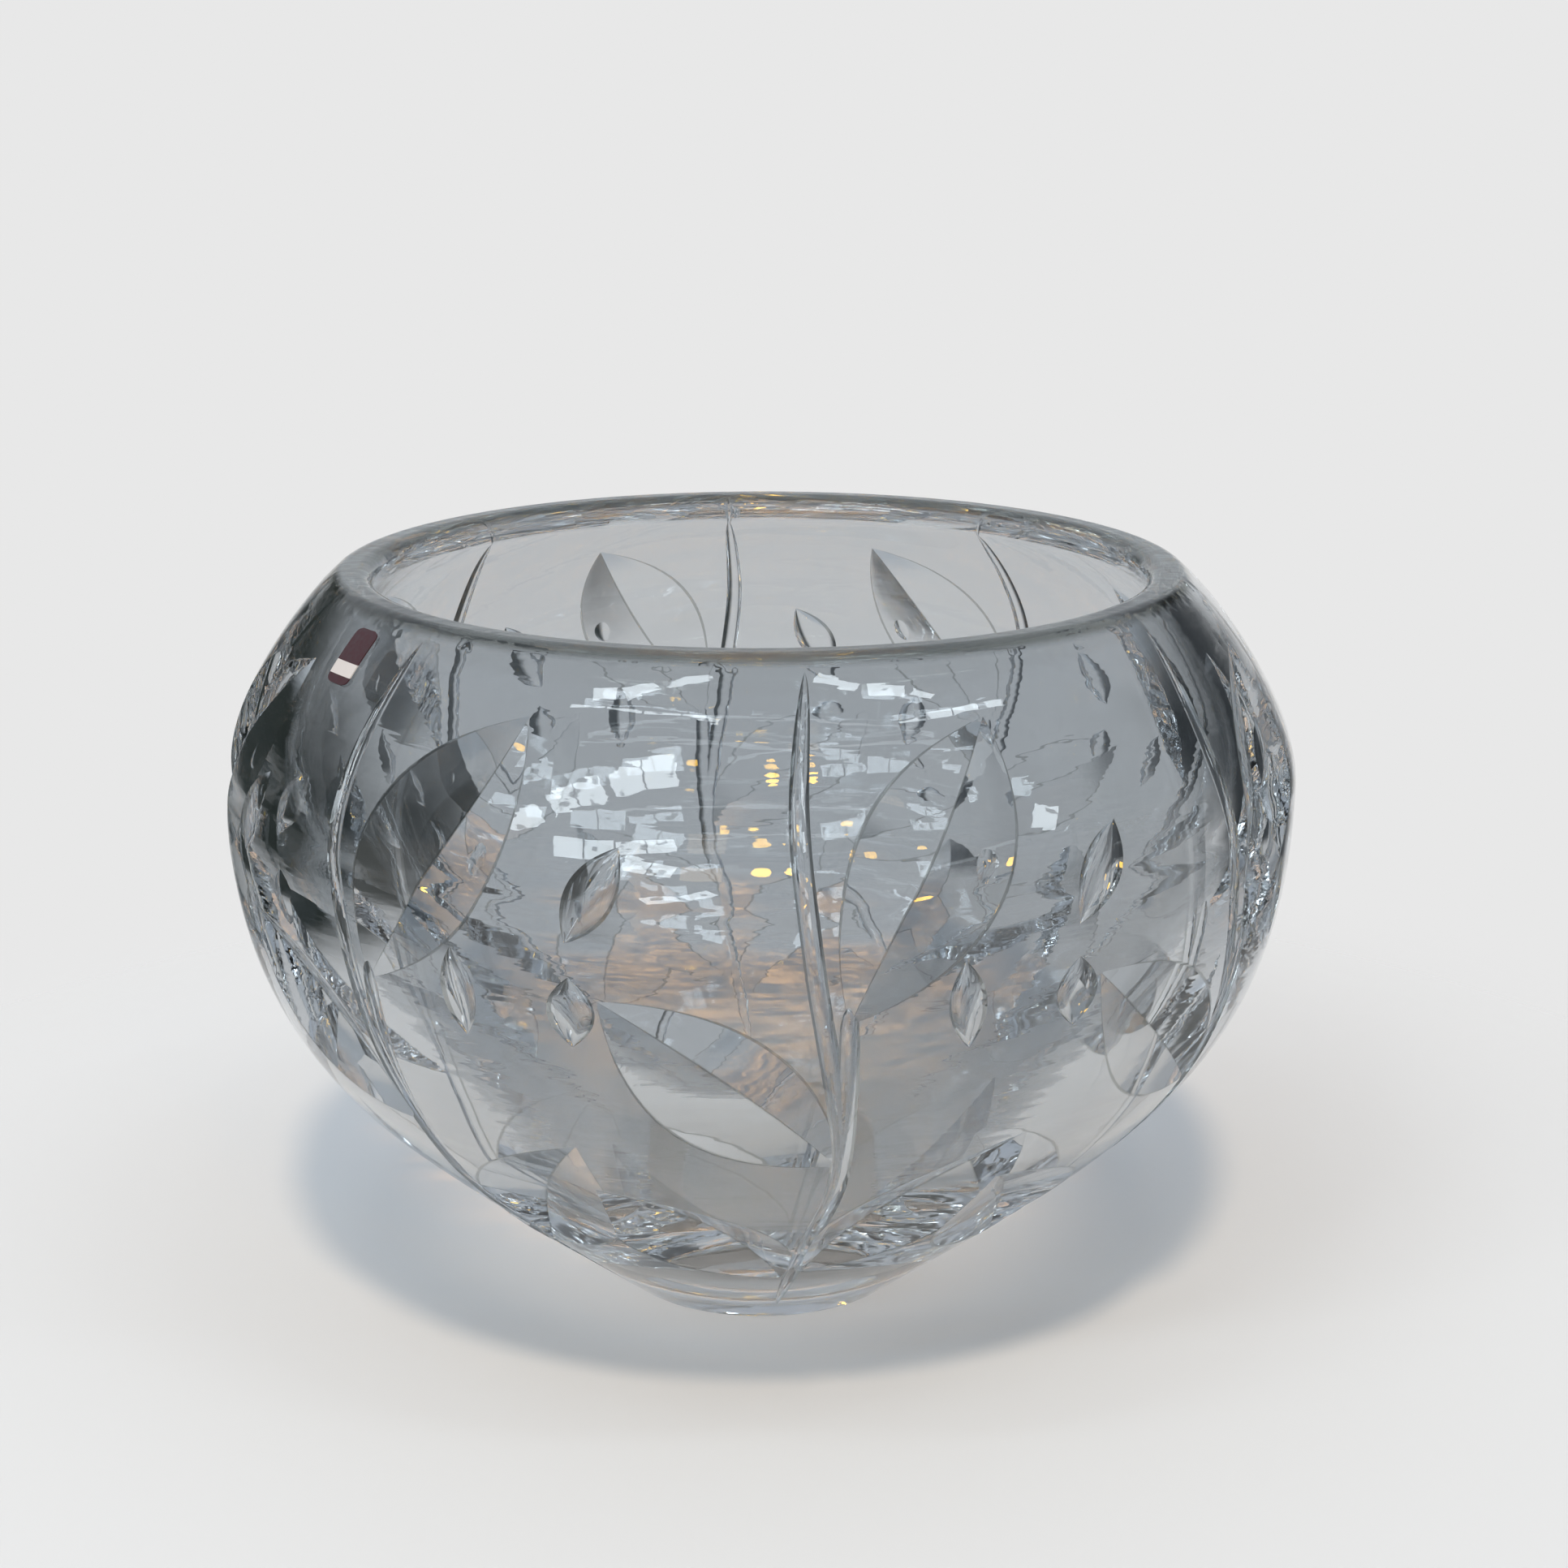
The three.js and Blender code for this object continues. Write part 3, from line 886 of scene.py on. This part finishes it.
matte_board = bpy.data.materials.new("matte_board")
floor_mesh.materials.append(matte_board)
shader, _ = start_material(matte_board, Base_Color=FLOOR_COLOUR, Roughness=0.9, Specular_IOR_Level=0.2)
place = add(matte_board, "ShaderNodeTexCoord").outputs["Object"]
far = add(matte_board, "ShaderNodeVectorMath", {0: place}, operation="LENGTH").outputs["Value"]
thinning = {"Value": far, "From Min": floor_solid, "From Max": floor_reach, "To Min": 1.0, "To Max": 0.0}
solid_share = add(matte_board, "ShaderNodeMapRange", thinning, **smooth_step).outputs["Result"]
link(matte_board, solid_share, shader.inputs["Alpha"])
print("floor reaches", round(floor_reach / MM), "mm")

# %% The surroundings: floor colour below, cool grey above
room = bpy.data.worlds.new("room")
scene.world = room
room.use_nodes = True
room.node_tree.nodes.clear()
direction = add(room, "ShaderNodeTexCoord").outputs["Generated"]
rise = add(room, "ShaderNodeSeparateXYZ", {"Vector": direction}).outputs["Z"]
high_up = {"Value": rise, "From Min": 0.2, "From Max": 0.9}
high_up = add(room, "ShaderNodeMapRange", high_up, **smooth_step).outputs["Result"]
ceiling = {0: high_up, 6: linear("ccd2d8"), 7: linear("b3bdca")}
ceiling = add(room, "ShaderNodeMix", ceiling, **blend).outputs[2]
above_floor = {"Value": rise, "From Min": 0.0, "From Max": 0.08}
above_floor = add(room, "ShaderNodeMapRange", above_floor, **smooth_step).outputs["Result"]
backdrop = {0: above_floor, 6: FLOOR_COLOUR, 7: ceiling}
backdrop = add(room, "ShaderNodeMix", backdrop, **blend).outputs[2]

# %% The dark cards
card_softness = 6


def card(azimuth, half_width, low, high, colour, behind):
    """A dark card at one side of the room, from the floor up. It thins out from low to high."""
    a = math.radians(azimuth)
    side = (math.sin(a), -math.cos(a), 0)
    level = add(room, "ShaderNodeVectorMath", {0: direction, 1: (1, 1, 0)}, operation="MULTIPLY")
    level = add(room, "ShaderNodeVectorMath", {0: level.outputs[0]}, operation="NORMALIZE").outputs[0]
    alike = add(room, "ShaderNodeVectorMath", {0: level, 1: side}, operation="DOT_PRODUCT")
    outer, inner = [math.cos(math.radians(half_width + s * card_softness)) for s in (1, -1)]
    wide = {"Value": alike.outputs["Value"], "From Min": outer, "From Max": inner}
    wide = add(room, "ShaderNodeMapRange", wide, **smooth_step).outputs["Result"]
    tall = {"Value": rise, "From Min": high, "From Max": low}
    tall = add(room, "ShaderNodeMapRange", tall, **smooth_step).outputs["Result"]
    share = add(room, "ShaderNodeMath", {0: wide, 1: tall}, operation="MULTIPLY").outputs[0]
    return add(room, "ShaderNodeMix", {0: share, 6: behind, 7: colour}, **blend).outputs[2]


carded = card(-127, 36, 0.15, 0.33, linear("2e3432"), backdrop)
carded = card(130, 24, 0.35, 0.55, linear("3e4245"), carded)
in_picture = add(room, "ShaderNodeLightPath").outputs["Is Camera Ray"]
surroundings = add(room, "ShaderNodeMix", {0: in_picture, 6: carded, 7: backdrop}, **blend).outputs[2]
glow = add(room, "ShaderNodeBackground", {"Color": surroundings, "Strength": 1.0})
add(room, "ShaderNodeOutputWorld", {"Surface": glow.outputs["Background"]})
print("room made of", len(room.node_tree.nodes), "nodes")

# %% [markdown]
# ## Lamps
#
# A polished wall mirrors every lamp as a small bright shape. The windows at the left front and
# the roof lights are flat panes, each placed where its patch on the glass says that it stands and
# turned to the slant at which it leans there. A plain pane would look like a sticker on the
# glass, so each window's own shader breaks it up. Small warm bulbs give the yellow points. The
# shadow comes from one lamp high above, kept out of reflections, because glass would show its
# disc as a blob. A thick bowl also gathers light as a lens does, into a soft pale spot under it
# and warm streaks behind it. A path tracer finds such light only with very many rays, so two spot
# lamps that cast no shadow put it on the floor.

# %% A flat lamp
lamp_distance = 8.0
WINDOW_RADIANCE = 8.6
WINDOW_LIGHT = (0.84, 0.94, 1)
bowl_middle = Vector((0, 0, half_height))


def toward(azimuth, elevation):
    """The direction to a place in the room. Azimuth 0 is the viewer's side, 90 the right."""
    a, e = math.radians(azimuth), math.radians(elevation)
    return Vector((math.sin(a) * math.cos(e), -math.cos(a) * math.cos(e), math.sin(e)))


def pane(name, azimuth, elevation, wide, high, slant, radiance, light, shape="RECTANGLE"):
    """A flat lamp that faces the bowl. Its sizes are in degrees as seen from there."""
    data = bpy.data.lights.new(name, "AREA")
    data.shape = shape
    data.size, data.size_y = [2 * lamp_distance * math.tan(math.radians(s / 2)) for s in (wide, high)]
    data.energy = radiance * math.pi * data.size * data.size_y
    data.color = light
    lamp = bpy.data.objects.new(name, data)
    lamp.location = bowl_middle + toward(azimuth, elevation) * lamp_distance
    aim = toward(azimuth, elevation).to_track_quat("Z", "Y")
    lamp.rotation_euler = (aim @ Quaternion((0, 0, 1), math.radians(slant))).to_euler()
    scene.collection.objects.link(lamp)
    return data


# %% What breaks a window up: its bars, and what stands outside it
bar_spacing = 6
bar_share = 0.06
outside_pattern = 0.25
dimmest = 0.15


def glaze(data, azimuth, elevation, wide, high):
    """Bars between the panes of a window, and trees or walls outside that dim parts of it."""
    data.use_nodes = True
    data.node_tree.nodes.clear()
    across = add(data, "ShaderNodeNewGeometry").outputs["Parametric"]
    sides = add(data, "ShaderNodeSeparateXYZ", {"Vector": across}).outputs
    clear = 1.0
    for side, degrees in zip("XY", (wide, high)):
        count = max(1, round(degrees / bar_spacing))
        place = add(data, "ShaderNodeMath", {0: sides[side], 1: count}, operation="MULTIPLY").outputs[0]
        place = add(data, "ShaderNodeMath", {0: place}, operation="FRACT").outputs[0]
        between = {0: place, 1: 0.5, 2: (1 - bar_share) / 2}
        between = add(data, "ShaderNodeMath", between, operation="COMPARE").outputs[0]
        clear = add(data, "ShaderNodeMath", {0: between, 1: clear}, operation="MULTIPLY").outputs[0]
    outside = {"Vector": across, "Location": (azimuth, elevation, 0), "Scale": (wide, high, 1)}
    outside = add(data, "ShaderNodeMapping", outside).outputs["Vector"]
    outside = {"Vector": outside, "Scale": outside_pattern, "Detail": 2.0}
    outside = add(data, "ShaderNodeTexNoise", outside).outputs["Fac"]
    seen = {"Value": outside, "From Min": 0.37, "From Max": 0.42, "To Min": dimmest, "To Max": 1.0}
    seen = add(data, "ShaderNodeMapRange", seen).outputs["Result"]
    strength = add(data, "ShaderNodeMath", {0: seen, 1: clear}, operation="MULTIPLY").outputs[0]
    shine = add(data, "ShaderNodeEmission", {"Strength": strength})
    add(data, "ShaderNodeOutputLight", {"Surface": shine.outputs["Emission"]})


# %% Windows, roof beams and bulbs
# Each pane is azimuth, elevation, width, height and slant in degrees. The rows follow the slant
# at which the windows lean in the glass.
windows = {
    "tall_window": [(-30.8, 46, 12.2, 6.5, 31), (-44.9, 38.2, 11, 7, 42), (-53.5, 29, 8, 5, 55)],
    "low_window": [(-24.5, 27.7, 11.7, 4.6, 19), (-23, 20.5, 10.7, 6.5, -10), (-37.7, 24.4, 12.3, 7, 13)],
    "far_window": [(-12.3, 6.7, 7.7, 4.2, 40), (-19.7, 2.6, 8, 5.2, 24)],
    "roof_left": [(-59.6, 60.2, 4.2, 3, 42), (-50.6, 64.7, 6.3, 3.6, 61), (-38.2, 71.4, 8.6, 3, 56)],
    "roof_right": [(38.5, 70.4, 7.6, 2.6, -54), (52.2, 64, 6.5, 4.6, -38), (60.4, 59.2, 4.2, 2.4, -66)],
    "gutter": [(-42, 60.1, 27, 1.2, 15), (62.7, 53.1, 21, 1.4, -21)],
    "side_window": [(64, 25, 5.7, 6.6, -34)],
}
beams = [
    (-18, 56, 44, 0.9, 5),
    (24, 54, 40, 0.9, -7),
    (0, 63, 60, 0.8, 0),
    (-4, 42, 46, 0.7, 2),
    (6, 33, 38, 0.8, -3),
]
BEAM_RADIANCE = 1.6
bulbs = [(3, 49, 2.6), (14, 49, 2.4), (0, 20, 4), (6, 20, 2.6), (20, 26, 2.8), (23, 0, 3), (31, 19, 2)]
BULB_RADIANCE = 20.0
BULB_LIGHT = (1.0, 0.55, 0.04)

for name, panes in windows.items():
    for number, place in enumerate(panes):
        glaze(pane(f"{name}_{number}", *place, WINDOW_RADIANCE, WINDOW_LIGHT), *place[:4])
pane("warm_wall", -12, 19, 8, 7.5, 0, 2.2, (1.0, 0.72, 0.42))
for number, place in enumerate(beams):
    pane(f"roof_beam_{number}", *place, BEAM_RADIANCE, WINDOW_LIGHT)
for number, (azimuth, elevation, across) in enumerate(bulbs):
    sides = azimuth, elevation, across, across, 0
    pane(f"warm_bulb_{number}", *sides, BULB_RADIANCE, BULB_LIGHT, "ELLIPSE")

# %% The lamp that casts the shadow
data = bpy.data.lights.new("soft_overhead", "SUN")
data.energy = 1.05
data.angle = math.radians(6)
data.color = (1.0, 0.82, 0.62)
overhead = bpy.data.objects.new("soft_overhead", data)
overhead.rotation_euler = toward(1, 58).to_track_quat("Z", "Y").to_euler()
overhead.visible_glossy = overhead.visible_transmission = False
scene.collection.objects.link(overhead)

# %% The light that the glass gathers
pinpoint = 0.001


def pool(name, start, aim, watts, light, wide):
    """Light that the glass has gathered on the floor, in a soft spot in which it casts no shadow."""
    data = bpy.data.lights.new(name, "SPOT")
    data.energy, data.color = watts, light
    data.spot_size, data.spot_blend = math.radians(wide), 1.0
    data.shadow_soft_size = pinpoint
    data.use_shadow = False
    lamp = bpy.data.objects.new(name, data)
    lamp.location = start
    lamp.rotation_euler = (lamp.location - Vector(aim)).to_track_quat("Z", "Y").to_euler()
    lamp.visible_glossy = lamp.visible_transmission = False
    scene.collection.objects.link(lamp)
    return data


pool("gathered_light", (0, 0.1, 1.6), (0, 0.03, 0), 44.0, (1.0, 0.93, 0.86), 6.8)
warm = pool("warm_streaks", (0, 1.0, 1.2), (-0.005, 0.125, 0), 60.0, (1.0, 0.5, 0.15), 8.5)

# %% The cuts break the warm light into streaks
streak_stretch = 5
streak_fineness = 60.0
warm.use_nodes = True
warm.node_tree.nodes.clear()
ray = add(warm, "ShaderNodeTexCoord").outputs["Normal"]
ray = add(warm, "ShaderNodeMapping", {"Vector": ray, "Scale": (1, streak_stretch, 1)}).outputs["Vector"]
streaks = {"Vector": ray, "Scale": streak_fineness, "Detail": 3.0, "Roughness": 0.6}
streaks = add(warm, "ShaderNodeTexNoise", streaks).outputs["Fac"]
streaks = {"Value": streaks, "From Min": 0.4, "From Max": 0.65, "To Min": 0.1, "To Max": 2.4}
streaks = add(warm, "ShaderNodeMapRange", streaks).outputs["Result"]
beam = add(warm, "ShaderNodeEmission", {"Strength": streaks})
add(warm, "ShaderNodeOutputLight", {"Surface": beam.outputs["Emission"]})

# %% [markdown]
# ## The picture
#
# A thick cut bowl passes a ray on many times before it leaves the glass. With the usual few
# bounces such rays end in false black specks, so the glass gets more of them.

# %% Set up the picture
scene.view_settings.view_transform = "Standard"
scene.cycles.max_bounces = 24
scene.cycles.transmission_bounces = 24
scene.cycles.glossy_bounces = 16
